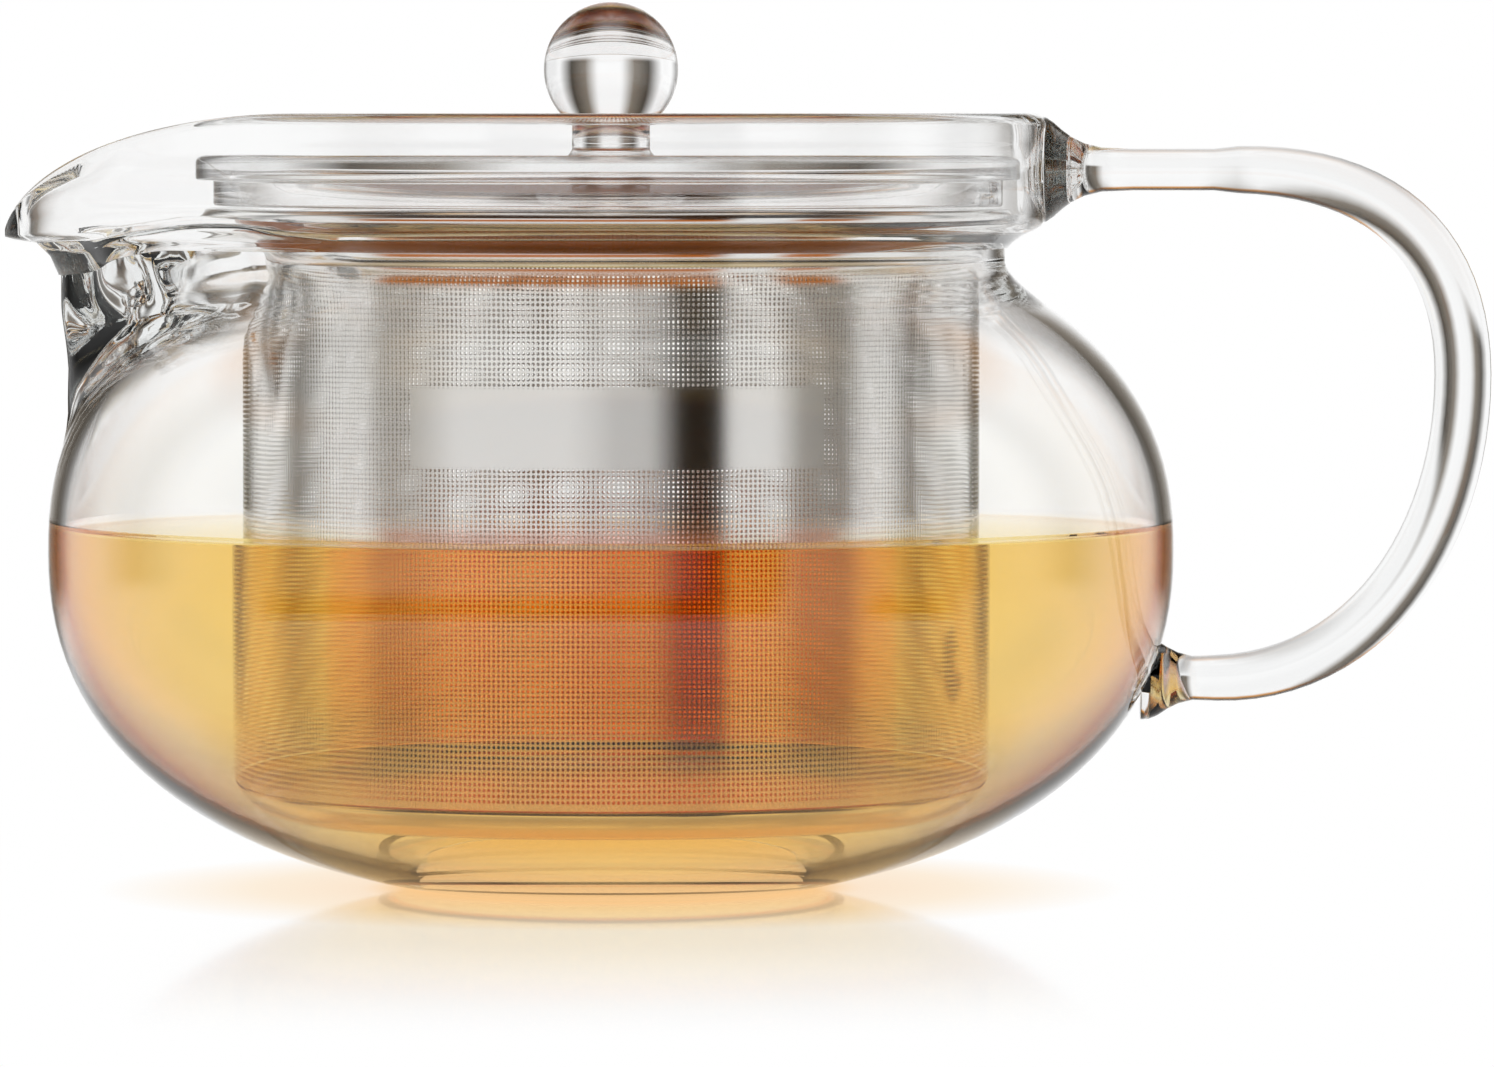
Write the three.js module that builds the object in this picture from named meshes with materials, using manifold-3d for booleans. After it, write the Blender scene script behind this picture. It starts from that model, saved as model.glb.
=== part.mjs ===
// A glass teapot with a lift-out steel infuser and a glass lid.
// Millimetres, +Z up, pouring beak towards -X, handle towards +X.
// The origin is the centre of the flat foot that the pot stands on.
import * as THREE from "three";
import { mergeVertices } from "three/addons/utils/BufferGeometryUtils.js";
import Module from "manifold-3d";

const wasm = await Module();
wasm.setup();

// ---- Driving dimensions -------------------------------------------------

// Bowl: a squat shape, fuller than an ellipse, cut flat at its foot.
const bowlRadius = 70;
const bellyHeight = 42.5; // height of the widest ring
const shoulderHeight = 75.9; // where the shoulder's curve would meet the neck
const footRadius = 23;
const bowlFullness = 2.3; // 2 would be an ellipse
const glassWall = 2;

// Neck and collar: the collar is the wider gallery that holds infuser and lid.
const neckRadius = 49;
const neckLength = 3.9; // from the shoulder up to the flare
const neckJoint = 1.4; // above the shoulder, where bowl and spout end and the collar starts
const flareHeight = 3.2; // from the neck up to the ledge
const galleryDepth = 13.5; // from the ledge up to the rim
const collarStep = 5; // how much wider than the neck the collar is, on the radius
const collarWall = 2.2;
const ledgeFillet = 1.2; // inside, between ledge and gallery wall
const ledgeEdge = 0.6; // the ledge's own rounded edge

// Beak and spout: the plan runs from the round collar along two tangents to a point.
const beakLength = 21.4; // from the round collar out to the pouring tip
const beakTipRounding = 0.04; // radians that the point is softened over
const rimFall = 16.5; // how far the rim curves down towards the tip
const lipDroop = 1.9; // the floor of the beak sinks this much at the tip
const throatBlend = 5; // fillet between the spout's nose and the shoulder
const throatSlimming = 0.7; // the nose is this much slimmer below the shoulder
const noseDepth = 14; // the nose starts to run into the bowl this far down
const noseSlope = 0.3; // and leans back this much per millimetre from there
const spoutDepth = 25.9; // the front panel with the nose reaches this far down
const spoutPatchWidth = 38; // the front panel that the spout is drawn from

// Handle: one solid rod bent into a loop, its ends flared onto collar and bowl.
const handleReach = 36; // centre line beyond the belly
const handleTopDepth = 7; // its upper run lies this far below the rim
const handleFootHeight = 26.2;
const handleMidHeight = 64; // where the loop stands furthest out
const handleRadius = 3.5;
const handleEndRadius = 2.6;
const handleBreadth = 1.12; // the rod is a little broader than it is deep
const topRootRadius = 6.8;
const footRootRadius = 5.3;
const rootLength = 6;
const topRun = 24; // straight run from the collar to the upper bend
const footRun = 8; // straight run from the lower bend to the bowl

// Infuser: a sheet steel basket that hangs by its flange on the ledge.
const sleeveClearance = 1.2; // between basket and neck, on the radius
const steelWall = 0.5;
const flangeThickness = 1.5;
const flangeClearance = 1.4; // between flange and collar, on the radius
const plainBandHeight = 5.4; // unperforated sleeve below the flange
const infuserFloorGap = 8.4; // between basket and bowl floor
const baseCornerRadius = 4;
const baseCupHeight = 3;

// Lid: a shallow pressed dish, upside down, with a solid ball knob.
const lidClearance = 0.9; // between lid skirt and collar, on the radius
const lidWall = 1.9;
const lidSkirtHeight = 6.4;
const lidCornerRadius = 1.6;
const knobRadius = 8.4;
const knobStemRadius = 4.85;
const knobFootRadius = 7;
const knobCentreAboveLid = 10.4;
const knobFootFillet = 0.7;

const gap = 0.3; // kept between pieces that touch or are fused
const reach = 10; // how far a cutting solid runs past what it cuts
const turnSteps = 48; // facets round a turned piece
const knobSteps = 32;

// ---- Helpers ------------------------------------------------------------

const point = (r, z) => new THREE.Vector2(r, z);

// A geometry as a closed solid that can be joined and cut.
function solid(geometry) {
  const bare = geometry.index ? geometry.toNonIndexed() : geometry.clone();
  bare.deleteAttribute("normal");
  bare.deleteAttribute("uv");
  const merged = mergeVertices(bare, 1e-4);
  return new wasm.Manifold(
    new wasm.Mesh({
      numProp: 3,
      vertProperties: merged.attributes.position.array,
      triVerts: new Uint32Array(merged.index.array),
    }),
  );
}

// The same the other way round, with flat-shaded normals.
function geometryOf(body) {
  const mesh = body.getMesh();
  const made = new THREE.BufferGeometry();
  made.setAttribute("position", new THREE.BufferAttribute(mesh.vertProperties, 3));
  made.setIndex(new THREE.BufferAttribute(mesh.triVerts, 1));
  made.computeVertexNormals();
  return made;
}

// A profile turned round the Z axis. Profiles run up the outside and down the inside.
function turned(profile, steps = turnSteps) {
  return new THREE.LatheGeometry(profile, steps).rotateX(Math.PI / 2);
}

// An arc of a profile, from one angle to another, in degrees from the outward direction.
function arc(r, z, radius, from, to, steps) {
  return Array.from({ length: steps + 1 }, (_, i) => {
    const a = THREE.MathUtils.degToRad(from + ((to - from) * i) / steps);
    return point(r + radius * Math.cos(a), z + radius * Math.sin(a));
  });
}

// The larger of two values, with a rounded change-over as wide as blend.
function softMax(a, b, blend) {
  const h = Math.max(blend - Math.abs(a - b), 0);
  return Math.max(a, b) + (h * h) / (4 * blend);
}

// ---- The pot's shape: bowl, neck, collar and beak -----------------------

const neckTop = shoulderHeight + neckLength;
const ledgeHeight = neckTop + flareHeight;
const rimHeight = ledgeHeight + galleryDepth;
const collarRadius = neckRadius + collarStep;
const beakReach = collarRadius + beakLength;

// The angle, from the beak's direction, where the tangents leave the round collar.
const tangentAngle = Math.acos(collarRadius / beakReach) + beakTipRounding;

// How much further out than a circle the teardrop plan lies, at an angle from the beak.
function teardrop(angle) {
  const soft = Math.hypot(angle, beakTipRounding);
  return soft < tangentAngle ? 1 / Math.cos(tangentAngle - soft) : 1;
}

const upperHalfHeight =
  (shoulderHeight - bellyHeight) /
  (1 - (neckRadius / bowlRadius) ** bowlFullness) ** (1 / bowlFullness);
const lowerHalfHeight =
  bellyHeight / (1 - (footRadius / bowlRadius) ** bowlFullness) ** (1 / bowlFullness);

// Radius of the round bowl at a height, inset by a wall.
function bowlRadiusAt(z, wall) {
  const half =
    z > bellyHeight
      ? upperHalfHeight - wall
      : wall > 0
        ? bellyHeight - wall
        : lowerHalfHeight;
  const share = Math.min(Math.abs(z - bellyHeight) / half, 1);
  return (bowlRadius - wall) * (1 - share ** bowlFullness) ** (1 / bowlFullness);
}

// Radius of bowl, neck and spout's nose together, at an angle from the beak.
function potRadiusAt(z, angle, wall) {
  if (z < bellyHeight) return bowlRadiusAt(z, wall);
  const depth = shoulderHeight - z;
  const fade = noseSlope * Math.max(depth - noseDepth, 0);
  const slim = throatSlimming * THREE.MathUtils.smoothstep(depth, 0, noseDepth);
  const neck = (neckRadius - wall - slim - fade) * teardrop(angle);
  return softMax(bowlRadiusAt(z, wall), neck, throatBlend);
}

// The rim curves down from the collar's shoulders to the tip, as a quarter ellipse.
// The ellipse ends just past the tip, so that the rim never stands quite upright.
const beakShoulder = collarRadius * Math.cos(tangentAngle);
const ellipseReach = beakReach * 1.004;
function rimHeightAt(x) {
  const share = (-x - beakShoulder) / (ellipseReach - beakShoulder);
  const u = THREE.MathUtils.clamp(share, 0, 1);
  return rimHeight - rimFall * (1 - Math.sqrt(1 - u * u));
}

// Columns of facets round the pot, closer together towards the tip.
const beakColumns = 10; // on each side of the tip
const roundColumns = 36;
const crowding = 1.6; // 1 would space the beak's columns evenly
const columnAngles = [];
for (let i = -beakColumns; i <= beakColumns; i++) {
  const share = Math.abs(i) / beakColumns;
  columnAngles.push(Math.sign(i) * tangentAngle * share ** crowding);
}
for (let i = 1; i < roundColumns; i++) {
  const rest = 2 * (Math.PI - tangentAngle);
  columnAngles.push(tangentAngle + (rest * i) / roundColumns);
}

// A turned shell whose every profile point is placed by its own function of the angle.
// Each entry is (angle) => [radius, height]. The entries close on themselves or on the axis.
function shaped(entries) {
  const columns = columnAngles.length;
  const dummy = entries.map((_, j) => point(1, j));
  const shell = new THREE.LatheGeometry(dummy, columns);
  const position = shell.attributes.position;
  for (let i = 0; i <= columns; i++) {
    const angle = columnAngles[i % columns];
    entries.forEach((entry, j) => {
      const [radius, height] = entry(angle);
      const x = -radius * Math.cos(angle);
      const y = -radius * Math.sin(angle);
      position.setXYZ(i * entries.length + j, x, y, height);
    });
  }
  return shell;
}

// Heights of the rings from the foot to a top, closer together where the bowl turns most.
function bowlHeights(bottom, top, rings) {
  return Array.from({ length: rings + 1 }, (_, i) => {
    const share = (1 - Math.cos((Math.PI * i) / rings)) / 2;
    return bottom + (top - bottom) * share;
  });
}

// ---- Bowl and spout -----------------------------------------------------

const neckSplit = shoulderHeight + neckJoint;
const bowlFloor = glassWall;
const outerRings = 17;
const innerRings = 15;

const wallEntry = (z, wall) => (angle) => [potRadiusAt(z, angle, wall), z];
const potShell = shaped([
  () => [0, 0],
  ...bowlHeights(0, neckSplit, outerRings).map((z) => wallEntry(z, 0)),
  ...bowlHeights(bowlFloor, neckSplit, innerRings)
    .reverse()
    .map((z) => wallEntry(z, glassWall)),
  () => [0, bowlFloor],
]);

// The front panel, between two upright planes, is the spout. The rest is the bowl.
const spoutFoot = shoulderHeight - spoutDepth;
const panelBack = neckRadius - glassWall / 2;
function panelBox(margin) {
  const front = beakReach + reach;
  const height = neckSplit + reach - spoutFoot;
  return new THREE.BoxGeometry(
    front - panelBack + 2 * margin,
    spoutPatchWidth + 2 * margin,
    height + 2 * margin,
  ).translate(-(front + panelBack) / 2, 0, spoutFoot + height / 2);
}
const potBody = solid(potShell);
const spoutBody = potBody.intersect(solid(panelBox(0)));
const bowlBody = potBody.subtract(solid(panelBox(gap)));

// ---- Neck and collar, with the open beak --------------------------------

const neckInner = neckRadius - glassWall;
const collarInner = collarRadius - collarWall;
const collarFoot = neckSplit + gap;

// The floor of the beak sinks towards the tip.
const droopAngle = 0.6 * tangentAngle; // the droop has faded out this far round
function droopAt(angle) {
  return lipDroop * (1 - THREE.MathUtils.smoothstep(Math.abs(angle), 0, droopAngle));
}

// A point of the collar's profile: below the ledge it droops, above it the rim's curve squeezes it.
function collarEntry(radius, z, floor) {
  return (angle) => {
    const r = radius * teardrop(angle);
    const sunk = Math.max((z - neckTop) / (floor - neckTop), 0);
    if (z <= floor) return [r, z - droopAt(angle) * Math.min(sunk, 1)];
    const bottom = floor - droopAt(angle);
    const share = (z - floor) / (rimHeight - floor);
    return [r, bottom + share * (rimHeightAt(-r * Math.cos(angle)) - bottom)];
  };
}

const beadRadius = collarWall / 2;
const beadHeight = rimHeight - beadRadius;
const underside = ledgeHeight + 0.2; // outer corner, where the flare turns upright
const flareRise = underside - neckTop;
// How far out and how far up the flare has come at two stops of its S-shaped curve.
const flareStops = [
  [0.3, 0.35],
  [0.7, 0.65],
];
const collarProfile = [
  [neckRadius, collarFoot, underside],
  [neckRadius, neckTop, underside],
  ...flareStops.map(([out, up]) => [
    neckRadius + out * collarStep,
    neckTop + up * flareRise,
    underside,
  ]),
  [collarRadius, underside, underside],
  [collarRadius, (underside + beadHeight) / 2, underside],
  ...arc(collarRadius - beadRadius, beadHeight, beadRadius, 0, 180, 4).map((p) => [
    p.x,
    p.y,
    ledgeHeight,
  ]),
  [collarInner, (ledgeHeight + beadHeight) / 2, ledgeHeight],
  [collarInner, ledgeHeight + ledgeFillet, ledgeHeight],
  [collarInner - ledgeFillet, ledgeHeight, ledgeHeight],
  [neckInner + ledgeEdge, ledgeHeight, ledgeHeight],
  [neckInner, ledgeHeight - ledgeEdge, ledgeHeight],
  [neckInner, collarFoot, ledgeHeight],
  [neckRadius, collarFoot, underside],
];
const collarShell = shaped(collarProfile.map(([r, z, floor]) => collarEntry(r, z, floor)));

// ---- Handle -------------------------------------------------------------

const handleTopHeight = rimHeight - handleTopDepth;
const handleOut = bowlRadius + handleReach;
const footFace = bowlRadiusAt(handleFootHeight, 0);
const sunkLength = 3; // the rod starts this far inside, and is then cut to fit

const at = (x, z) => new THREE.Vector3(x, 0, z);
const handlePath = new THREE.CurvePath();
const pathStart = at(collarRadius - sunkLength, handleTopHeight);
const pathTurn = at(collarRadius + topRun, handleTopHeight);
const pathMid = at(handleOut, handleMidHeight);
const pathReturn = at(footFace + footRun, handleFootHeight);
const pathEnd = at(footFace - sunkLength, handleFootHeight);
const topBulge = 0.64; // how square the upper corner is
const footBulge = 0.55; // the same for the lower corner, down from the middle
const footSweep = 0.6; // and back along the lower run
handlePath.add(new THREE.LineCurve3(pathStart, pathTurn));
handlePath.add(
  new THREE.CubicBezierCurve3(
    pathTurn,
    at(pathTurn.x + topBulge * (handleOut - pathTurn.x), handleTopHeight),
    at(handleOut, handleMidHeight + topBulge * (handleTopHeight - handleMidHeight)),
    pathMid,
  ),
);
handlePath.add(
  new THREE.CubicBezierCurve3(
    pathMid,
    at(handleOut, handleMidHeight - footBulge * (handleMidHeight - handleFootHeight)),
    at(pathReturn.x + footSweep * (handleOut - pathReturn.x), handleFootHeight),
    pathReturn,
  ),
);
handlePath.add(new THREE.LineCurve3(pathReturn, pathEnd));
const handleLength = handlePath.getLength();

// Radius of the rod at a distance along it: slim ends, a full middle and flared roots.
const fullness = 0.6; // below 1 the middle stays thick over more of the length
const flareAt = (s) => Math.max(1 - Math.max(s - sunkLength, 0) / rootLength, 0) ** 2;
function rodRadiusAt(s) {
  const middle = Math.sin((Math.PI * s) / handleLength) ** fullness;
  return (
    handleEndRadius +
    (handleRadius - handleEndRadius) * middle +
    (topRootRadius - handleEndRadius) * flareAt(s) +
    (footRootRadius - handleEndRadius) * flareAt(handleLength - s)
  );
}

// Stations along the rod: one at its end, then closer together at the roots.
const rootSteps = 5;
const middleSteps = 28;
const rootEnd = sunkLength + rootLength + 1;
const rootStations = [0];
for (let i = 0; i <= rootSteps; i++) {
  rootStations.push(sunkLength + (rootEnd - sunkLength) * (i / rootSteps) ** 1.3);
}
const middleLength = handleLength - 2 * rootEnd;
const rodStations = [
  ...rootStations,
  ...Array.from({ length: middleSteps - 1 }, (_, i) => rootEnd + (middleLength * (i + 1)) / middleSteps),
  ...rootStations.map((s) => handleLength - s).reverse(),
];

// A straight turned rod, then bent so that its axis lies on the path.
function bentRod(sides) {
  const profile = [point(0, 0)];
  rodStations.forEach((s) => profile.push(point(rodRadiusAt(s), s)));
  profile.push(point(0, handleLength));
  const rod = new THREE.LatheGeometry(profile, sides);
  const position = rod.attributes.position;
  const across = new THREE.Vector3(0, 1, 0);
  for (let i = 0; i < position.count; i++) {
    const share = THREE.MathUtils.clamp(position.getY(i) / handleLength, 0, 1);
    const centre = handlePath.getPointAt(share);
    const along = handlePath.getTangentAt(share);
    const up = new THREE.Vector3().crossVectors(along, across);
    centre.addScaledVector(up, position.getX(i));
    centre.addScaledVector(across, position.getZ(i) * handleBreadth);
    position.setXYZ(i, centre.x, centre.y, centre.z);
  }
  return rod;
}

// The space that bowl and collar fill, with the gap round it, cuts the rod's ends to fit.
const roundPot = turned([
  point(0, -reach),
  point(footRadius + gap, -reach),
  ...bowlHeights(0, neckSplit, outerRings).map((z) => point(potRadiusAt(z, Math.PI, 0) + gap, z)),
  point(neckRadius + gap, neckTop),
  point(collarRadius + gap, underside),
  point(collarRadius + gap, rimHeight + reach),
  point(0, rimHeight + reach),
], 2 * turnSteps);
const rodSides = 16;
const handleBody = solid(bentRod(rodSides)).subtract(solid(roundPot));

// ---- Infuser ------------------------------------------------------------

const basketRadius = neckInner - sleeveClearance;
const basketInner = basketRadius - steelWall;
const flangeRadius = collarInner - flangeClearance;
const flangeUnder = ledgeHeight + gap;
const flangeTop = flangeUnder + flangeThickness;
const bandFoot = flangeUnder - plainBandHeight;
const basketBottom = bowlFloor + infuserFloorGap;
const meshTop = bandFoot - gap;
const meshFoot = basketBottom + baseCupHeight + gap;
const roll = flangeThickness / 2; // the flange's edge is rolled round

const rimProfile = [
  point(basketInner, bandFoot),
  point(basketRadius, bandFoot),
  point(basketRadius, flangeUnder),
  ...arc(flangeRadius - roll, flangeUnder + roll, roll, -90, 90, 6),
  ...arc(basketInner + roll, flangeUnder + roll, roll, 90, 180, 3),
  point(basketInner, bandFoot),
];

const meshProfile = [
  point(basketInner, meshFoot),
  point(basketRadius, meshFoot),
  point(basketRadius, (meshFoot + meshTop) / 2),
  point(basketRadius, meshTop),
  point(basketInner, meshTop),
  point(basketInner, (meshFoot + meshTop) / 2),
  point(basketInner, meshFoot),
];

const cupCentre = basketRadius - baseCornerRadius;
const cupTurn = THREE.MathUtils.radToDeg(Math.asin(1 - baseCupHeight / baseCornerRadius));
const cupCentreHeight = basketBottom + baseCornerRadius;
const cupProfile = [
  point(0, basketBottom),
  ...arc(cupCentre, cupCentreHeight, baseCornerRadius, -90, -cupTurn, 5),
  ...arc(cupCentre, cupCentreHeight, baseCornerRadius - steelWall, -cupTurn, -90, 5),
  point(0, basketBottom + steelWall),
];

// ---- Lid ----------------------------------------------------------------

const skirtRadius = collarInner - lidClearance;
const skirtFoot = flangeTop + gap;
const lidTop = skirtFoot + lidSkirtHeight;
const lidUnder = lidTop - lidWall;
const skirtInner = skirtRadius - lidWall;
const innerCorner = lidCornerRadius / 2;
const lidProfile = [
  point(0, lidUnder),
  ...arc(skirtInner - innerCorner, lidUnder - innerCorner, innerCorner, 90, 0, 3),
  point(skirtInner, skirtFoot),
  point(skirtRadius, skirtFoot),
  ...arc(skirtRadius - lidCornerRadius, lidTop - lidCornerRadius, lidCornerRadius, 0, 90, 4),
  point(0, lidTop),
];

// The knob: a flared foot, a waist and a ball, all of one piece.
const knobFoot = lidTop + gap;
const knobCentre = lidTop + knobCentreAboveLid;
const waist = THREE.MathUtils.radToDeg(Math.acos(knobStemRadius / knobRadius));
const waistHeight = knobCentre - Math.sqrt(knobRadius ** 2 - knobStemRadius ** 2);
const knobProfile = [
  point(0, knobFoot),
  point(knobFootRadius, knobFoot),
  point(knobStemRadius + knobFootFillet, knobFoot + knobFootFillet),
  point(knobStemRadius, (knobFoot + 2 * waistHeight) / 3),
  ...arc(0, knobCentre, knobRadius, -waist, 90, 12).slice(0, -1),
  point(0, knobCentre + knobRadius),
];

// ---- Assembly -----------------------------------------------------------

const glass = { color: 0xeef3f2, roughness: 0.04, metalness: 0, transparent: true, opacity: 0.4 };
const steel = { color: 0xb9bbbd, roughness: 0.3, metalness: 1 };
const sheet = { color: 0x9da0a3, roughness: 0.4, metalness: 1 };

function piece(name, geometry, look) {
  const mesh = new THREE.Mesh(geometry, new THREE.MeshStandardMaterial(look));
  mesh.name = name;
  return mesh;
}

const pot = new THREE.Group();
pot.add(piece("bowl", geometryOf(bowlBody), glass));
pot.add(piece("spout", geometryOf(spoutBody), glass));
pot.add(piece("collar", collarShell, glass));
pot.add(piece("handle", geometryOf(handleBody), glass));

const infuser = new THREE.Group();
infuser.add(piece("infuser_rim", turned(rimProfile), steel));
infuser.add(piece("infuser_wall", turned(meshProfile), sheet));
infuser.add(piece("infuser_base", turned(cupProfile), steel));

const lid = new THREE.Group();
lid.add(piece("lid_disc", turned(lidProfile), glass));
lid.add(piece("lid_knob", turned(knobProfile, knobSteps), glass));

const teapot = new THREE.Group();
teapot.add(pot, infuser, lid);

export default teapot;
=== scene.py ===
# %% [markdown]
# # A glass teapot with a steel infuser
# The pot is blown borosilicate glass: a squat bowl, a short neck, a wider collar with a pouring
# beak, and a solid glass rod bent into a handle. Inside hangs a basket of fine perforated steel,
# and a small glass lid with a ball knob lies in the collar, on the basket's flange.
# Everything here is in metres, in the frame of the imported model. Lengths are written in
# millimetres and turned to metres as each piece is made.

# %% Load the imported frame
import math
import bpy
import numpy as np
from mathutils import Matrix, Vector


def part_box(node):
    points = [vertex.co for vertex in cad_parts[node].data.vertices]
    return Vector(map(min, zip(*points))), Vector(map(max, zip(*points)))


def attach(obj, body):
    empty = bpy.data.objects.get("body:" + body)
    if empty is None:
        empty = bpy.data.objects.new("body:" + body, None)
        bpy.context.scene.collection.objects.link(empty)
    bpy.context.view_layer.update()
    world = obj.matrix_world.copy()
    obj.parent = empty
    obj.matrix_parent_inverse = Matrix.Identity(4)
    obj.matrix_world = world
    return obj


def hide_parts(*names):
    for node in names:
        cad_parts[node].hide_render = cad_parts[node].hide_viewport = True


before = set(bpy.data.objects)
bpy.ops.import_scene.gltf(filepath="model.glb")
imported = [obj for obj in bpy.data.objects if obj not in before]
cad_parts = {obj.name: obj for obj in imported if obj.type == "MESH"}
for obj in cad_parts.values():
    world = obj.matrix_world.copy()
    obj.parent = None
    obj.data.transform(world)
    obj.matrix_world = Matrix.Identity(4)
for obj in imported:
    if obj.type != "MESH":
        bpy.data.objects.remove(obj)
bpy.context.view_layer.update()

# %% Sizes that the frame gives
MM = 0.001


def corners(node):
    """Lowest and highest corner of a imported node, in millimetres."""
    low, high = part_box(node)
    return [v / MM for v in low], [v / MM for v in high]


bowl_high = corners("bowl")[1]
collar_high = corners("collar")[1]
sheet_low, sheet_high = corners("infuser_wall")
flange_low, flange_high = corners("infuser_rim")
cup_low = corners("infuser_base")[0]
lid_low, lid_high = corners("lid_disc")
knob_low, knob_high = corners("lid_knob")

BOWL_RADIUS = round(bowl_high[1], 1)
COLLAR_RADIUS = round(collar_high[1], 1)
RIM_HEIGHT = collar_high[2]
print("bowl radius", BOWL_RADIUS, "collar radius", COLLAR_RADIUS, "rim height", RIM_HEIGHT)

# %% [markdown]
# ## The camera
# A long lens, level with the rim and looking straight at the side of the pot, so that beak and
# handle show in full profile and verticals stay upright. It comes first, because every later
# choice of facets and pattern is judged in its frame.

# %% Place the camera
FRAME_WIDTH = 185.9 * MM  # what the frame spans at the pot's axis
CAMERA_DISTANCE = 1.2
CAMERA_HEIGHT = 0.097
AIM = (0.0169, 0.0, 0.0442)
SENSOR = 36

camera_data = bpy.data.cameras.new("camera")
camera_data.sensor_width = SENSOR
camera_data.lens = SENSOR * CAMERA_DISTANCE / FRAME_WIDTH
camera_data.clip_end = 50  # metres, well past the table
camera = bpy.data.objects.new("camera", camera_data)
bpy.context.collection.objects.link(camera)
camera.location = (AIM[0], -CAMERA_DISTANCE, CAMERA_HEIGHT)
tilt = math.atan2(CAMERA_HEIGHT - AIM[2], CAMERA_DISTANCE)
camera.rotation_euler = (math.pi / 2 - tilt, 0, 0)
bpy.context.scene.camera = camera
print("lens", round(camera_data.lens), "mm, tilted down", round(math.degrees(tilt), 1), "degrees")

# %% [markdown]
# ## Turning a profile
# Glass like this is spun on a lathe or blown into a turning mould, so nearly every piece is a
# profile turned round the upright axis. By hand that is one point, extruded step by step into
# an outline, and then the Spin operator. One helper does just that for every turned piece.
# Where the outline meets itself or the axis, its doubled vertices are merged, which closes it.

# %% A helper that spins an outline
SAME_PLACE = 0.002  # vertices nearer than this are one, mm
ROUND_STEPS = 160  # columns of a turned piece, enough for a smooth edge against the light


def start_piece(name):
    """One vertex at the origin, selected, in edit mode."""
    bpy.ops.object.select_all(action="DESELECT")
    bpy.ops.mesh.primitive_plane_add(size=MM)
    piece = bpy.context.object
    piece.name = piece.data.name = name
    bpy.ops.object.mode_set(mode="EDIT")
    bpy.ops.mesh.select_mode(type="VERT")
    bpy.ops.mesh.select_all(action="SELECT")
    bpy.ops.mesh.merge(type="CENTER")
    return piece


def spun(name, outline, steps):
    """Turns (radius, height) points, in millimetres, all the way round Z.
    The outline starts and ends on the axis, or ends where it starts."""
    piece = start_piece(name)
    r, z = outline[0]
    bpy.ops.transform.translate(value=(r * MM, 0, z * MM))
    for (r0, z0), (r1, z1) in zip(outline, outline[1:]):
        step = ((r1 - r0) * MM, 0, (z1 - z0) * MM)
        bpy.ops.mesh.extrude_region_move(TRANSFORM_OT_translate={"value": step})
    bpy.ops.mesh.select_all(action="SELECT")
    bpy.ops.mesh.spin(steps=steps, angle=2 * math.pi, center=(0, 0, 0), axis=(0, 0, 1))
    bpy.ops.mesh.select_all(action="SELECT")
    bpy.ops.mesh.remove_doubles(threshold=SAME_PLACE * MM)
    bpy.ops.mesh.normals_make_consistent(inside=False)
    bpy.ops.object.mode_set(mode="OBJECT")
    bpy.ops.object.shade_smooth()
    print(name, len(piece.data.polygons), "faces")
    return piece


def arc(r, z, radius, start, end, steps):
    """Points of an arc, from one angle to another, in degrees from the outward direction."""
    angles = np.radians(np.linspace(start, end, steps + 1))
    return [(r + radius * math.cos(a), z + radius * math.sin(a)) for a in angles]


# %% [markdown]
# ## The pot's shape
# The bowl is fuller than an ellipse, so its outline is a superellipse. The neck and the collar
# have the plan of a teardrop: a circle with two tangents that meet at the beak. Bowl and neck
# flow into each other, which a rounded maximum of the two radii gives, with the fillet built in.

# %% Sizes of the pot, in millimetres
BELLY_HEIGHT = 42.5  # where the bowl is widest
SHOULDER_HEIGHT = 75.9
FOOT_RADIUS = 23
FULLNESS = 2.3  # power of the superellipse; 2 would be an ellipse
GLASS_WALL = 2.0
NECK_RADIUS = 49
NECK_TOP = 79.8
LEDGE_HEIGHT = 83  # the ledge inside the collar that carries the basket
COLLAR_WALL = 2.2
BEAK_LENGTH = 21.4  # from the collar to where the beak's two tangents meet
TIP_ROUNDING = 0.04  # how blunt the beak's tip is, in radians round the pot
THROAT_BLEND = 5  # size of the fillet between neck and bowl
THROAT_SLIMMING = 0.7  # how much the neck draws in on its way down to the bowl
NOSE_DEPTH = 14  # how far below the shoulder the nose starts to run back into the bowl
NOSE_SLOPE = 0.3

# %% Outline formulas of the pot
SPIKE_LIMIT = 1.5  # keeps the cosine off zero, in radians

beak_reach = COLLAR_RADIUS + BEAK_LENGTH
TANGENT_ANGLE = math.acos(COLLAR_RADIUS / beak_reach) + TIP_ROUNDING
neck_share = (1 - (NECK_RADIUS / BOWL_RADIUS) ** FULLNESS) ** (1 / FULLNESS)
foot_share = (1 - (FOOT_RADIUS / BOWL_RADIUS) ** FULLNESS) ** (1 / FULLNESS)
UPPER_HALF = (SHOULDER_HEIGHT - BELLY_HEIGHT) / neck_share
LOWER_HALF = BELLY_HEIGHT / foot_share


def smoothstep(x, low, high):
    """Runs from 0 at low to 1 at high, with a soft start and end."""
    t = np.clip((x - low) / (high - low), 0, 1)
    return t * t * (3 - 2 * t)


def teardrop(angle, rounding=TIP_ROUNDING):
    """How much further out than its circle the plan lies, at an angle from the beak."""
    soft = np.hypot(angle, rounding)
    return np.where(soft < TANGENT_ANGLE, 1 / np.cos(np.minimum(TANGENT_ANGLE - soft, SPIKE_LIMIT)), 1)


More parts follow.
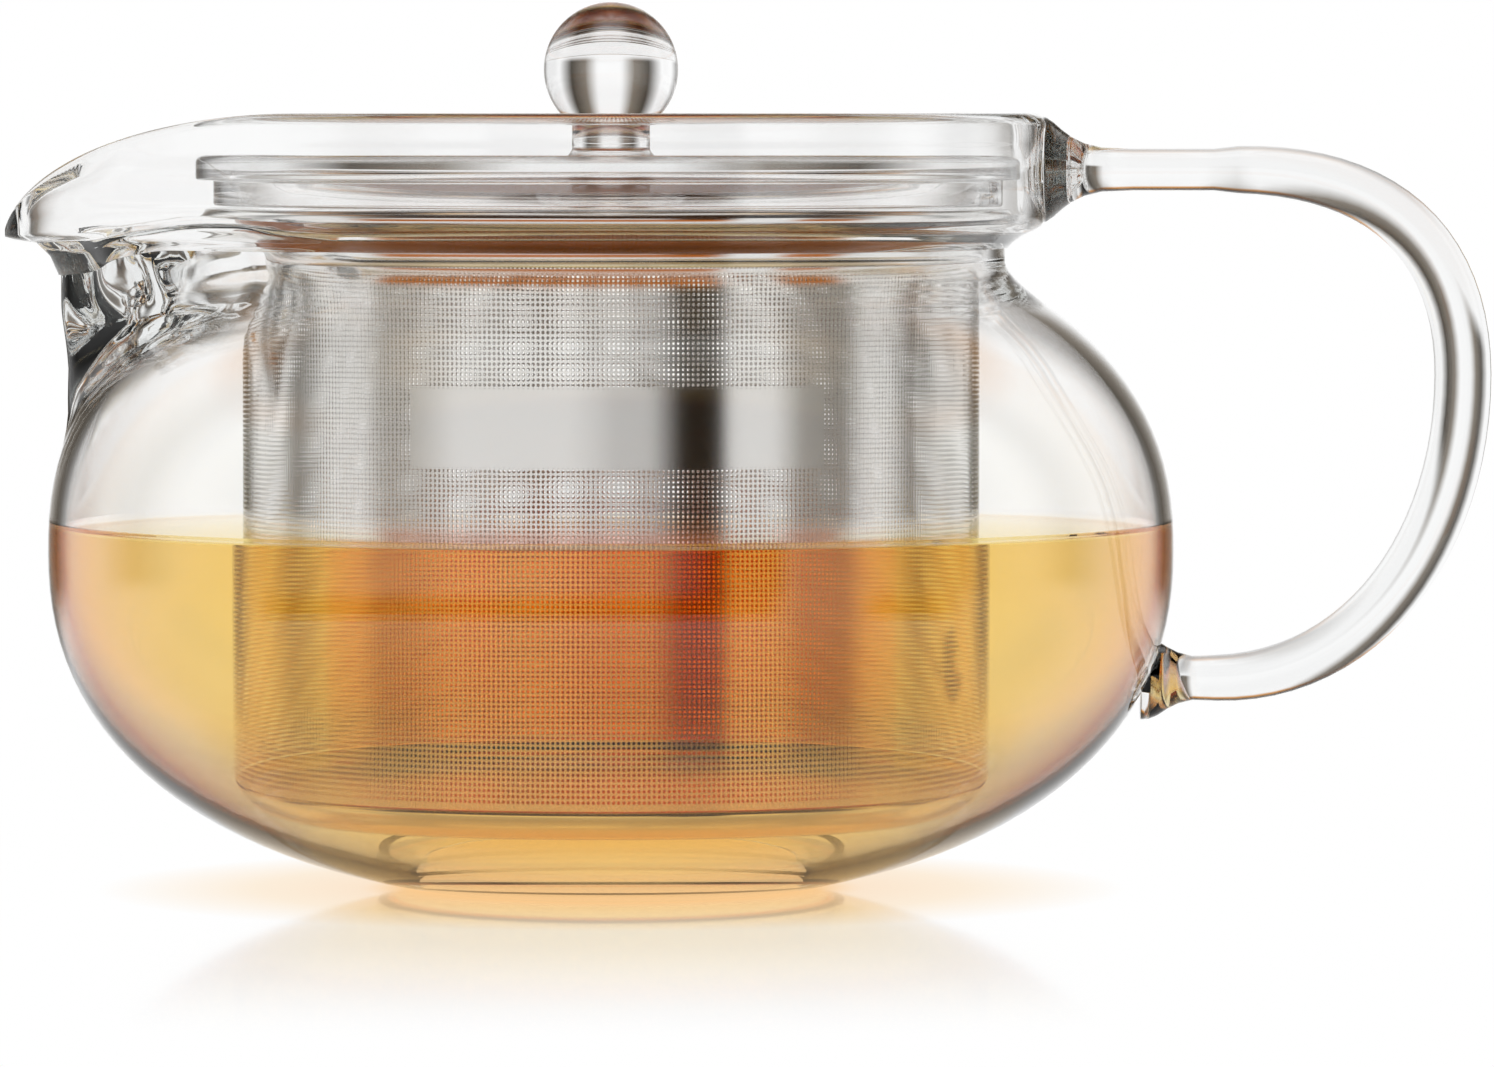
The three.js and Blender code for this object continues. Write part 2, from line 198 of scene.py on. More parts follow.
def bowl_radius(z, wall):
    """Radius of the round bowl at a height, inset by a wall."""
    lower = np.where(np.equal(wall, 0), LOWER_HALF, BELLY_HEIGHT - wall)
    half = np.where(z > BELLY_HEIGHT, UPPER_HALF - wall, lower)
    share = np.minimum(np.abs(z - BELLY_HEIGHT) / half, 1)
    return (BOWL_RADIUS - wall) * (1 - share**FULLNESS) ** (1 / FULLNESS)


def soft_max(a, b, blend):
    """The larger of two radii, with a fillet where they cross."""
    h = np.maximum(blend - np.abs(a - b), 0)
    return np.maximum(a, b) + h * h / (4 * blend)


def pot_radius(z, angle, wall, rounding=TIP_ROUNDING):
    """Radius of bowl, neck and the spout's nose together, at an angle from the beak."""
    depth = SHOULDER_HEIGHT - z
    fade = NOSE_SLOPE * np.maximum(depth - NOSE_DEPTH, 0)
    slim = THROAT_SLIMMING * smoothstep(depth, 0, NOSE_DEPTH)
    neck = (NECK_RADIUS - wall - slim - fade) * teardrop(angle, rounding)
    bowl = bowl_radius(z, wall)
    return np.where(z < BELLY_HEIGHT, bowl, soft_max(bowl, neck, THROAT_BLEND))


# %% [markdown]
# ## Blowing the pot
# Such a pot is blown into a turning mould. It could start from a sphere, cut open and given a
# wall with Solidify, but the outline is the piece here, so the round pot is spun in one go,
# with both faces of its wall, a bead at the rim and a ledge inside the collar.

# %% Spin the round pot
POT_COLUMNS = 240
collar_inner = COLLAR_RADIUS - COLLAR_WALL
neck_inner = NECK_RADIUS - GLASS_WALL
BEAD_RADIUS = 1.4  # half the thickness of the fire-polished rim
LEDGE_FILLET = 1.3
LEDGE_EDGE = 0.9
LEDGE_FLAT = 2.2  # from the neck's inner face to the middle of the ledge
FLARE_RISE = 4.2  # height of the step from neck to collar
OUTSIDE_RINGS, INSIDE_RINGS = 56, 50


def bowl_heights(low, high, rings):
    """Heights spaced closely where the outline turns most."""
    shares = (1 - np.cos(np.pi * np.arange(rings + 1) / rings)) / 2
    return low + (high - low) * shares


def wall_line(low, high, rings, wall):
    """The bowl's outline opposite the beak, inset by a wall."""
    return [(float(pot_radius(z, math.pi, wall)), float(z)) for z in bowl_heights(low, high, rings)]


step = COLLAR_RADIUS - NECK_RADIUS
# Each point of the flare: its share of the step outwards, and its rise above the neck.
flare = [(0.06, 0.0), (0.2, 0.75), (0.45, 1.6), (0.7, 2.15), (0.88, 2.7), (0.97, 3.3)]
outside = [(0, 0), (8, 0), (16, 0)] + wall_line(0, NECK_TOP, OUTSIDE_RINGS, 0)
outside += [(NECK_RADIUS + step * share, NECK_TOP + rise) for share, rise in flare]
bead_height = RIM_HEIGHT - BEAD_RADIUS
outside += [(COLLAR_RADIUS, NECK_TOP + FLARE_RISE), (COLLAR_RADIUS, NECK_TOP + 8)]
bead = arc(COLLAR_RADIUS - BEAD_RADIUS, bead_height, BEAD_RADIUS, 0, 180, 12)
inside = [(collar_inner - 0.25, bead_height - 2.5), (collar_inner, bead_height - 5)]
inside += arc(collar_inner - LEDGE_FILLET, LEDGE_HEIGHT + LEDGE_FILLET, LEDGE_FILLET, 0, -90, 6)
inside += [(neck_inner + LEDGE_FLAT, LEDGE_HEIGHT)]
inside += arc(neck_inner + LEDGE_EDGE, LEDGE_HEIGHT - LEDGE_EDGE, LEDGE_EDGE, 90, 180, 5)
inside += wall_line(GLASS_WALL, NECK_TOP, INSIDE_RINGS, GLASS_WALL)[::-1]
inside[-1] = (0, GLASS_WALL)  # exactly on the axis, so that the floor closes
pot = spun("pot_glass", outside + bead + inside, POT_COLUMNS)

# %% [markdown]
# ## Drawing out the beak
# A glassmaker draws the beak out with a wooden paddle while the rim is hot. Here every vertex
# keeps its place on the profile and moves out to the teardrop plan, and the rim falls towards
# the tip in a quarter ellipse. The vertices are moved by formula rather than by proportional
# editing, so that the two faces of the wall stay apart as they should.

# %% Read and set a piece's vertices
def coordinates(piece):
    """The vertices of a piece, in millimetres."""
    places = np.empty(len(piece.data.vertices) * 3, np.float32)
    piece.data.vertices.foreach_get("co", places)
    return places.reshape(-1, 3).astype(float) / MM


def set_coordinates(piece, places):
    piece.data.vertices.foreach_set("co", (places * MM).astype(np.float32).ravel())
    piece.data.update()


# %% Draw out the beak
RIM_FALL = 16.5  # from the collar's rim down to the tip
LIP_DROOP = 1.9  # how far the lip under the beak sinks
FLANK_FILL = 0.75  # the share of the step that is filled out beside the beak
THROAT_HOLLOW = 3.4  # how much lower the nose starts at its middle
THROAT_ROUNDING = 0.22  # how much rounder the channel is inside, in radians round the pot
CROWDING = 0.72  # how much closer together the columns stand at the tip
PAST_TIP = 1.004  # ends the quarter ellipse just past the tip, short of its upright end
ON_NECK = 0.01  # heights this near the neck's top still belong to the neck
STEP_FOOT, STEP_LEAN = 48.5, 1.3  # parts the outside of the step from the inside
HOLLOW_END = 1.5  # height above the neck where the hollow has run out

# Heights and angles between which a shape sets in, and between which it ends.
THROAT_START, THROAT_END = (60, 71), (78, 83)
FLANK_START, FLANK_END = (0.08, 0.26), (0.6, 0.85)
FLANK_FOOT, HOLLOW_FOOT = 69, 66
LIP_SPREAD = 0.6 * TANGENT_ANGLE
HOLLOW_SPREAD = 0.4


def rim_fall(x):
    """How far the rim has come down at a distance along the beak."""
    start = COLLAR_RADIUS * math.cos(TANGENT_ANGLE)
    u = np.clip((-x - start) / (beak_reach * PAST_TIP - start), 0, 1)
    return RIM_FALL * (1 - np.sqrt(1 - u * u))


def draw_beak(piece):
    """Moves every vertex of the round pot out to the plan with the beak."""
    places = coordinates(piece)
    radius, z = np.hypot(places[:, 0], places[:, 1]), places[:, 2]
    turn = np.arctan2(places[:, 1], -places[:, 0])
    angle = turn - CROWDING * np.sin(turn)
    off = np.abs(angle)

    nearer_outside = np.abs(radius - pot_radius(z, math.pi, 0)) <= np.abs(
        radius - pot_radius(z, math.pi, GLASS_WALL)
    )
    in_collar = z > NECK_TOP + ON_NECK
    step_middle = STEP_FOOT + STEP_LEAN * (z - NECK_TOP)
    outside_step = radius > np.minimum(step_middle, COLLAR_RADIUS - COLLAR_WALL / 2)
    outer = np.where(in_collar, outside_step, nearer_outside)
    wall = np.where(outer, 0, GLASS_WALL)

    # The glass is thick in the throat, so the channel inside it ends in a rounder curve.
    throat = smoothstep(z, *THROAT_START) - smoothstep(z, *THROAT_END)
    rounding = TIP_ROUNDING + np.where(outer, 0, THROAT_ROUNDING) * throat
    plan = teardrop(angle, rounding)

    # Beside the beak the step under the collar is filled out, so that the wall runs straight.
    beside = FLANK_FILL * (smoothstep(off, *FLANK_START) - smoothstep(off, *FLANK_END))
    collar_face = np.where(outer, COLLAR_RADIUS, collar_inner)
    neck_face = NECK_RADIUS - wall
    filled = beside * (collar_face - neck_face) * plan * smoothstep(z, FLANK_FOOT, NECK_TOP)
    round_pot = pot_radius(z, math.pi, wall)
    below = radius + pot_radius(z, angle, wall, rounding) - round_pot + filled
    above = (radius + beside * np.maximum(collar_face - radius, 0)) * plan
    out = np.where(in_collar, above, below)
    x, y = -out * np.cos(angle), out * np.sin(angle)

    # The lip droops, and under it the nose starts lower down in a long hollow curve.
    droop = LIP_DROOP * (1 - smoothstep(off, 0, LIP_SPREAD))
    hollow = THROAT_HOLLOW * (1 - smoothstep(off, 0, HOLLOW_SPREAD)) * outer
    over = np.clip((z - NECK_TOP) / HOLLOW_END, 0, 1) ** 0.7
    sunk = np.where(
        z > NECK_TOP,
        droop * np.clip((z - NECK_TOP) / (LEDGE_HEIGHT - NECK_TOP), 0, 1) + hollow * (1 - over),
        hollow * smoothstep(z, HOLLOW_FOOT, NECK_TOP),
    )
    rise = np.clip((z - LEDGE_HEIGHT) / (RIM_HEIGHT - LEDGE_HEIGHT), 0, 1)
    height = z - sunk - rise * (rim_fall(x) - sunk)
    set_coordinates(piece, np.stack([x, y, height], 1))


draw_beak(pot)
low, high = coordinates(pot).min(0), coordinates(pot).max(0)
print("pot from", low.round(1), "to", high.round(1))

# %% [markdown]
# ## The handle
# One solid rod, bent hot and pressed onto collar and bowl, where its ends spread. By hand this
# could be a Bezier curve with a round bevel. Here it is a circle extruded from stop to stop, turned
# and scaled at each, which leaves clean rings and a radius of its own for every stop.

# %% Lay out the loop
HANDLE_TOP = RIM_HEIGHT - 7
HANDLE_FOOT = 26.2
HANDLE_OUT = BOWL_RADIUS + 36
HANDLE_MID = 64
HANDLE_BREADTH = 1.12  # the rod is a little wider than it is high
TOP_RUN = 24  # the straight stretch beside the collar
FOOT_RUN = 8.5
THIN_ROD = 2.6  # radius where it leaves the collar
ROD_SWELL = 0.95  # how much thicker it is in the middle of the loop
SWELL_START, SWELL_SPAN, SWELL_FULLNESS = 0.06, 0.9, 0.6  # it grows and thins like a sine
UPPER_REACH, SIDE_REACH, LOWER_REACH = 0.64, 0.55, 0.6  # how far the curves keep straight
foot_face = float(bowl_radius(np.float64(HANDLE_FOOT), 0))

# Each stop at a root: the distance from the glass, and the radius of the rod there.
upper_root = [(-0.9, 6.6), (0.1, 6.5), (1.0, 5.9), (2.0, 5.0), (3.2, 4.1), (4.8, 3.3), (7.0, 2.75)]
lower_root = [(5.6, 2.75), (3.8, 3.2), (2.4, 3.9), (1.2, 4.7), (0.2, 5.1), (-0.9, 5.2)]


def bezier(p0, p1, p2, p3, steps):
    """Points of a Bezier curve, without its first."""
    t = np.linspace(0, 1, steps + 1)[1:, None]
    a, b, c, d = (np.array(p, float) for p in (p0, p1, p2, p3))
    return (1 - t) ** 3 * a + 3 * (1 - t) ** 2 * t * b + 3 * (1 - t) * t * t * c + t**3 * d


turn_top = (COLLAR_RADIUS + TOP_RUN, HANDLE_TOP)
turn_foot = (foot_face + FOOT_RUN, HANDLE_FOOT)
middle = (HANDLE_OUT, HANDLE_MID)
upper = bezier(
    turn_top,
    (turn_top[0] + UPPER_REACH * (HANDLE_OUT - turn_top[0]), HANDLE_TOP),
    (HANDLE_OUT, HANDLE_MID + UPPER_REACH * (HANDLE_TOP - HANDLE_MID)),
    middle,
    20,
)
lower = bezier(
    middle,
    (HANDLE_OUT, HANDLE_MID - SIDE_REACH * (HANDLE_MID - HANDLE_FOOT)),
    (turn_foot[0] + LOWER_REACH * (HANDLE_OUT - turn_foot[0]), HANDLE_FOOT),
    turn_foot,
    24,
)
stops = [(COLLAR_RADIUS + out, HANDLE_TOP, r) for out, r in upper_root]
stops += [(COLLAR_RADIUS + out, HANDLE_TOP, THIN_ROD) for out in (11, 16, 21)]
loop = np.vstack([[turn_top], upper, lower])
run = np.concatenate([[0], np.cumsum(np.hypot(*np.diff(loop, axis=0).T))])
swell = np.sin(np.pi * (run / run[-1] * SWELL_SPAN + SWELL_START)) ** SWELL_FULLNESS
stops += [(x, z, THIN_ROD + ROD_SWELL * s) for (x, z), s in zip(loop, swell)]
stops += [(foot_face + out, HANDLE_FOOT, r) for out, r in lower_root]
print("handle of", len(stops), "stops,", round(run[-1]), "mm round the loop")

# %% Bend the rod
ROD_SIDES = 40


def rod_through(name, stops, sides):
    """A ring of vertices extruded from stop to stop, turned to follow the loop."""
    bpy.ops.object.select_all(action="DESELECT")
    x, z, r = stops[0]
    bpy.ops.mesh.primitive_circle_add(
        vertices=sides,
        radius=r * MM,
        fill_type="NGON",
        location=(x * MM, 0, z * MM),
        rotation=(0, math.pi / 2, 0),
    )
    rod = bpy.context.object
    rod.name = rod.data.name = name
    bpy.ops.object.transform_apply(location=True, rotation=True, scale=True)
    bpy.ops.object.mode_set(mode="EDIT")
    bpy.ops.mesh.select_all(action="SELECT")
    heading = 0.0
    for i in range(1, len(stops)):
        (x0, z0, r0), (x1, z1, r1) = stops[i - 1], stops[i]
        ahead = stops[min(i + 1, len(stops) - 1)]
        new = math.atan2(ahead[1] - z0, ahead[0] - x0)
        centre = (x1 * MM, 0, z1 * MM)
        bpy.ops.mesh.extrude_region_move(
            TRANSFORM_OT_translate={"value": ((x1 - x0) * MM, 0, (z1 - z0) * MM)}
        )
        turn = (new - heading + math.pi) % (2 * math.pi) - math.pi
        bpy.ops.transform.rotate(
            value=turn, orient_axis="Y", orient_type="GLOBAL", center_override=centre
        )
        bpy.ops.transform.resize(value=(r1 / r0,) * 3, center_override=centre)
        heading = new
    bpy.ops.mesh.select_all(action="SELECT")
    bpy.ops.mesh.normals_make_consistent(inside=False)
    bpy.ops.transform.resize(value=(1, HANDLE_BREADTH, 1), center_override=(0, 0, 0))
    bpy.ops.object.mode_set(mode="OBJECT")
    bpy.ops.object.shade_smooth()
    print(name, len(rod.data.polygons), "faces")
    return rod


handle = rod_through("handle_rod", stops, ROD_SIDES)
low, high = coordinates(handle).min(0), coordinates(handle).max(0)
print("handle from", low.round(1), "to", high.round(1))

# %% [markdown]
# ## Fusing the rod
# The real rod is melted onto the pot. A Boolean union makes one body of the two, so that light
# passes the joint as it does in the fused glass. With two bodies the hidden faces would show.

# %% Fuse the rod to the pot
fuse = pot.modifiers.new("fuse", "BOOLEAN")
fuse.operation = "UNION"
fuse.solver = "EXACT"
fuse.object = handle
bpy.ops.object.select_all(action="DESELECT")
bpy.context.view_layer.objects.active = pot
pot.select_set(True)
bpy.ops.object.modifier_apply(modifier="fuse")
bpy.data.objects.remove(handle)
bpy.ops.object.shade_smooth()
print("fused pot", len(pot.data.polygons), "faces")

# %% [markdown]
# ## The lid
# A shallow pressed dish lying upside down, with the knob melted onto it. The solid ball turns
# the view behind it upside down, as a lens does, so it is modelled round and solid, with a
# waist below it and a soft foot where it meets the dish.

# %% Spin the lid with its knob
LID_TOP = lid_high[2]
LID_WALL = 1.9
KNOB_RADIUS = (knob_high[0] - knob_low[0]) / 2
KNOB_CENTRE = knob_high[2] - KNOB_RADIUS
STEM_RADIUS = 4.85
WAIST_RADIUS = 5.2  # where ball and stem meet
BRIM_WIDTH = 4.0
BRIM_HEIGHT = 3.2  # from the underside of the brim to the top of the lid
SKIRT_WALL = 1.8
INNER_CORNER, SKIRT_EDGE, BRIM_EDGE, TOP_EDGE = 0.5, 0.4, 0.3, 1.0  # radii of the corners
brim_radius = lid_high[0]
skirt_foot = lid_low[2]
under = LID_TOP - LID_WALL
skirt_inner = brim_radius - BRIM_WIDTH
skirt_outer = skirt_inner + SKIRT_WALL
brim = LID_TOP - BRIM_HEIGHT
edge_height = skirt_foot + SKIRT_EDGE
waist_angle = math.degrees(math.acos(WAIST_RADIUS / KNOB_RADIUS))

lid_outline = [(0, under), (20, under), (40, under)]
lid_outline += arc(skirt_inner - INNER_CORNER, under - INNER_CORNER, INNER_CORNER, 90, 0, 4)
lid_outline += arc(skirt_inner + SKIRT_EDGE, edge_height, SKIRT_EDGE, 180, 270, 4)
lid_outline += arc(skirt_outer - SKIRT_EDGE, edge_height, SKIRT_EDGE, 270, 360, 4)
lid_outline += arc(skirt_outer + BRIM_EDGE, brim - BRIM_EDGE, BRIM_EDGE, 180, 90, 3)
lid_outline += arc(brim_radius - BRIM_EDGE, brim + BRIM_EDGE, BRIM_EDGE, -90, 0, 3)
lid_outline += arc(brim_radius - TOP_EDGE, LID_TOP - TOP_EDGE, TOP_EDGE, 0, 90, 7)
lid_outline += [(40, LID_TOP), (20, LID_TOP), (9, LID_TOP)]
lid_outline += [(7.2, LID_TOP + 0.15), (6.1, LID_TOP + 0.55), (5.3, LID_TOP + 1.2)]
lid_outline += [(STEM_RADIUS, LID_TOP + 2.1), (STEM_RADIUS, LID_TOP + 3.0)]
lid_outline += arc(0, KNOB_CENTRE, KNOB_RADIUS, -waist_angle, 90, 28)
lid_outline[-1] = (0, KNOB_CENTRE + KNOB_RADIUS)  # exactly on the axis
lid = spun("lid_glass", lid_outline, ROUND_STEPS)

# %% [markdown]
# ## The infuser
# A flange and sleeve spun from one disc of stainless steel, a cylinder rolled from sheet with
# thousands of etched holes, and a shallow drawn cup welded on as its floor. All three are turned
# shapes. The holes are left to the material, because cut ones would take millions of faces.

# %% Spin the flange and its sleeve
basket_radius = sheet_high[0]
flange_radius = flange_high[0]
flange_top = flange_high[2]
band_foot = flange_low[2]
STEEL = 0.5  # thickness of the drawn steel
ROLL = 0.75  # half the thickness of the rolled rim
SLEEVE_OUT = 0.3  # how far the sleeve stands off the perforated sheet
under_roll = flange_top - 2 * ROLL
flange_outline = [(basket_radius - STEEL, band_foot), (basket_radius + 0.4, band_foot)]
flange_outline += [(basket_radius + SLEEVE_OUT, band_foot + rise) for rise in (2, 4)]
flange_outline += arc(basket_radius + SLEEVE_OUT + 0.6, under_roll - 0.6, 0.6, 180, 90, 4)
flange_outline += [(flange_radius - 0.3, under_roll), (flange_radius, under_roll + 0.1)]
flange_outline += [(flange_radius - ROLL, flange_top - 0.1), (flange_radius - 1.1, flange_top)]
flange_outline += [(flange_radius - 2.2, flange_top - 0.2), (basket_radius + 1.2, flange_top - 0.3)]
flange_outline += arc(basket_radius + 0.7, flange_top - 1.7, 1.4, 90, 180, 6)
flange_outline += [flange_outline[0]]
flange = spun("infuser_flange", flange_outline, ROUND_STEPS)

# %% [markdown]
# ## The cup
# The floor of the basket is drawn from sheet: flat, with a round corner that runs up into the
# perforated wall.

# %% Draw the cup
CUP_CORNER = 4.0
CUP_RIM = -14  # where the corner stops, in degrees: the sheet takes over from there
cup_foot = cup_low[2]
corner = basket_radius - CUP_CORNER
corner_height = cup_foot + CUP_CORNER
cup_outline = [(0, cup_foot), (20, cup_foot)]
cup_outline += arc(corner, corner_height, CUP_CORNER, -90, CUP_RIM, 8)
cup_outline += arc(corner, corner_height, CUP_CORNER - STEEL, CUP_RIM, -90, 8)
cup_outline += [(20, cup_foot + STEEL), (0, cup_foot + STEEL)]
cup = spun("infuser_cup", cup_outline, ROUND_STEPS)

# %% [markdown]
# ## The perforated sheet
# A plain cylinder of thin sheet. Its UV map counts holes, across and up, so that the material can
# draw one hole in each unit square and leave a panel of whole holes blank.

# %% Roll the perforated sheet
HOLES_ROUND = 480  # the real sheet has some 550, which would be too fine to show
SHEET_STEPS = 192
SHEET = 0.3  # thickness of the perforated sheet
hole_pitch = 2 * math.pi * basket_radius / HOLES_ROUND
sheet_foot, sheet_top = sheet_low[2], sheet_high[2]
sheet_outline = [(basket_radius - SHEET, sheet_foot), (basket_radius, sheet_foot)]
sheet_outline += [(basket_radius, sheet_top), (basket_radius - SHEET, sheet_top)]
sheet_outline += [sheet_outline[0]]
sheet = spun("infuser_sheet", sheet_outline, SHEET_STEPS)
bpy.ops.object.shade_smooth_by_angle(angle=math.radians(40))


def lay_out_holes(piece):
    """A UV map in hole pitches: across is the way round the sheet, up is the height."""
    layer = piece.data.uv_layers.new(name="holes")
    places = coordinates(piece)
    turns = np.arctan2(places[:, 0], -places[:, 1]) / (2 * math.pi)  # 0 faces the front
    for face in piece.data.polygons:
        around = [turns[v] for v in face.vertices]
        wrap = max(around) - min(around) > 0.5
        for loop in face.loop_indices:
            v = piece.data.loops[loop].vertex_index
            turn = turns[v] + (1 if wrap and turns[v] < 0 else 0)
            height = (places[v, 2] - sheet_foot) / hole_pitch
            layer.data[loop].uv = (turn * HOLES_ROUND, height)


lay_out_holes(sheet)
print("hole pitch", round(hole_pitch, 3), "mm")

# %% [markdown]
# ## The tea
# Tea fills bowl and basket to just above the belly. It is a turned shape too, and its face lies a
# tenth of a millimetre within the glass, because a renderer needs the two to overlap: an air gap
# there would mirror like silver. At the wall it climbs a little, the bright line round its surface.
# The colour of real tea deepens towards the leaves, and towards the edge of the bowl, where the
# curved glass lets the eye look along it. Two bodies of stronger tea inside the first draw that:
# a core in the basket, and a thin layer against the glass.

# %% Pour the tea
TEA_LEVEL = 45.0
tea_wall = GLASS_WALL - 0.1
CLIMB = 0.9  # how far the tea climbs at the glass
tea_outline = wall_line(tea_wall, TEA_LEVEL + CLIMB, 36, tea_wall)
edge = tea_outline[-1][0]
tea_outline += [(edge - 0.35, TEA_LEVEL + CLIMB / 2), (edge - 0.9, TEA_LEVEL + 0.15)]
tea_outline += [(edge - 2, TEA_LEVEL), (edge - 12, TEA_LEVEL), (20, TEA_LEVEL), (0, TEA_LEVEL)]
tea = spun("tea", tea_outline, ROUND_STEPS)

# %% Steep the strong tea in the basket
STEEPING_RADIUS = 34.6
STEEPING_CORNER = 5
CLEARANCE = 0.4  # above the floor of the cup
top_face = TEA_LEVEL - 0.05  # just under the surface, so that no two faces lie in one plane
steeping_foot = cup_foot + STEEL + CLEARANCE
strong_outline = [(0, steeping_foot), (15, steeping_foot)]
strong_outline += arc(
    STEEPING_RADIUS - STEEPING_CORNER, steeping_foot + STEEPING_CORNER, STEEPING_CORNER, -90, 0, 8
)
strong_outline += [(STEEPING_RADIUS, top_face), (20, top_face), (0, top_face)]
strong_tea = spun("tea_in_basket", strong_outline, ROUND_STEPS)

# %% Deepen the tea beside the glass
SKIN = 2.0  # thickness of the deeper layer, fading out towards the foot
SKIN_FOOT, SKIN_FULL = 4.0, 16.0
outer_face = wall_line(SKIN_FOOT, top_face, 24, tea_wall + 0.05)
inner_face = [(r - SKIN * float(smoothstep(z, SKIN_FOOT, SKIN_FULL)), z) for r, z in outer_face]
deep_tea = spun("tea_beside_glass", outer_face + inner_face[:0:-1] + [outer_face[0]], ROUND_STEPS)

# %% [markdown]
# ## Making materials
# One small function adds a node, sets its inputs and links them. Colours of surfaces are written
# as the sRGB hex values that a paint program shows, and one function turns them to linear light.

# %% Helpers for materials
WHITE = (1, 1, 1, 1)


def linear(hex_colour):
    """sRGB hex to linear RGBA."""
    values = [int(hex_colour[i : i + 2], 16) / 255 for i in (1, 3, 5)]
    lit = [v / 12.92 if v <= 0.04045 else ((v + 0.055) / 1.055) ** 2.4 for v in values]
    return (*lit, 1.0)


def new_material(name):
    """A material with an empty node tree."""
    made = bpy.data.materials.new(name)
    made.use_nodes = True
    made.node_tree.nodes.clear()
    return made


def add(tree, kind, inputs=None, **settings):
    """Adds a node. Inputs are values or the sockets that feed them."""
    node = tree.nodes.new(kind)
    for name, value in settings.items():
        setattr(node, name, value)
    for name, value in (inputs or {}).items():
        socket = node.inputs[name]
        if isinstance(value, bpy.types.NodeSocket):
            tree.links.new(value, socket)
        else:
            socket.default_value = value
    return node


def maths(tree, operation, *values):
    """A Math node on numbers or sockets, and its result."""
    node = add(tree, "ShaderNodeMath", dict(enumerate(values)), operation=operation)
    return node.outputs[0]


def mixed(tree, share, first, second, **settings):
    """A colour on its way from the first to the second."""
    inputs = {0: share, 6: first, 7: second}
    return add(tree, "ShaderNodeMix", inputs, data_type="RGBA", **settings).outputs[2]


def eased(tree, value, low, high, to_low=0.0, to_high=1.0):
    """Runs from one value to another between low and high, with a soft start and end."""
    inputs = {"Value": value, "From Min": low, "From Max": high}
    inputs |= {"To Min": to_low, "To Max": to_high}
    return add(tree, "ShaderNodeMapRange", inputs, interpolation_type="SMOOTHSTEP").outputs[0]


def ramp(tree, value, stops):
    """A Color Ramp from (position, hex colour) stops."""
    node = add(tree, "ShaderNodeValToRGB", {"Fac": value})
    while len(node.color_ramp.elements) < len(stops):
        node.color_ramp.elements.new(1.0)
    for element, (position, colour) in zip(node.color_ramp.elements, stops):
        element.position, element.color = position, linear(colour)
    return node.outputs[0]


# %% [markdown]
# ## Glass and tea
# Both are clear bodies: light bends at their face and loses colour on its way through. The
# Principled shader does the bending with full transmission, and a Volume Absorption node the
# colour, so that a thick edge is darker than a thin wall, as on the object.

# %% A clear body, glass or liquid
def clear_body(name, colour, strength, bending):
    """A smooth body that bends light and absorbs it on the way, more so the stronger it is."""
    material = new_material(name)
    tree = material.node_tree
    face = {"Base Color": WHITE, "Roughness": 0.0, "IOR": bending, "Transmission Weight": 1.0}
    surface = add(tree, "ShaderNodeBsdfPrincipled", face).outputs[0]
    inside = add(tree, "ShaderNodeVolumeAbsorption", {"Color": colour, "Density": strength})
    add(tree, "ShaderNodeOutputMaterial", {"Surface": surface, "Volume": inside.outputs[0]})
    print(name, "bends light by", bending)
    return material


# %% Borosilicate glass
BOROSILICATE = 1.47  # its index of refraction
pot_material = clear_body(
    "borosilicate glass, flame polished", linear("#C9CFCE"), 14.0, BOROSILICATE
)
lid_material = clear_body("borosilicate glass, pressed", linear("#D2D7D6"), 2.5, BOROSILICATE)

# %% Brewed tea
# Its bending of light is kept far below that of water, 1.33, so that the basket keeps its width
# under the surface. The two stronger bodies lie inside the first and don't bend light at all.
WEAK_BENDING, NO_BENDING = 1.03, 1.0
tea_material = clear_body("tea, brewed", (0.96, 0.82, 0.04, 1), 14.0, WEAK_BENDING)
strong_material = clear_body(
    "tea, steeping in the basket", (0.95, 0.42, 0.0, 1), 36.0, NO_BENDING
)
deep_material = clear_body("tea, seen along the glass", (0.91, 0.52, 0.0, 1), 80.0, NO_BENDING)

# %% [markdown]
# ## Steel
# The basket is stainless steel: the flange spun and left satin, the sheet etched with a fine
# grid of round holes. Under the tea each hole holds a film of it, which turns the steel amber
# and lets some of the tea behind it through. Metallic 1 and a low roughness mirror the studio.

# %% Steel, dry and under tea
def steel_tone(tree):
    """Plain steel above the tea, and below it the amber of the tea film in every hole."""
    place = add(tree, "ShaderNodeTexCoord").outputs["Object"]
    height = add(tree, "ShaderNodeSeparateXYZ", {"Vector": place}).outputs[2]
    wet = maths(tree, "LESS_THAN", height, TEA_LEVEL * MM)
    return mixed(tree, wet, linear("#EDECEA"), linear("#F8DC98"))


# %% Stainless steel, spun
PAINTED_REFLECTION_SHARE = 0.95  # how far the painted amber reflection on the sleeve is a colour rather than a mirror
RING_SCALE = (40, 40, 4000)  # a hundred times finer up and down: rings a quarter millimetre wide
SMOOTHEST, ROUGHEST = 0.08, 0.2
# Foot and top of the painted reflection: an amber band painted on the sleeve, mm
painted_reflection_bottom = band_foot + 1.9
painted_reflection_top = flange_top - 1.55


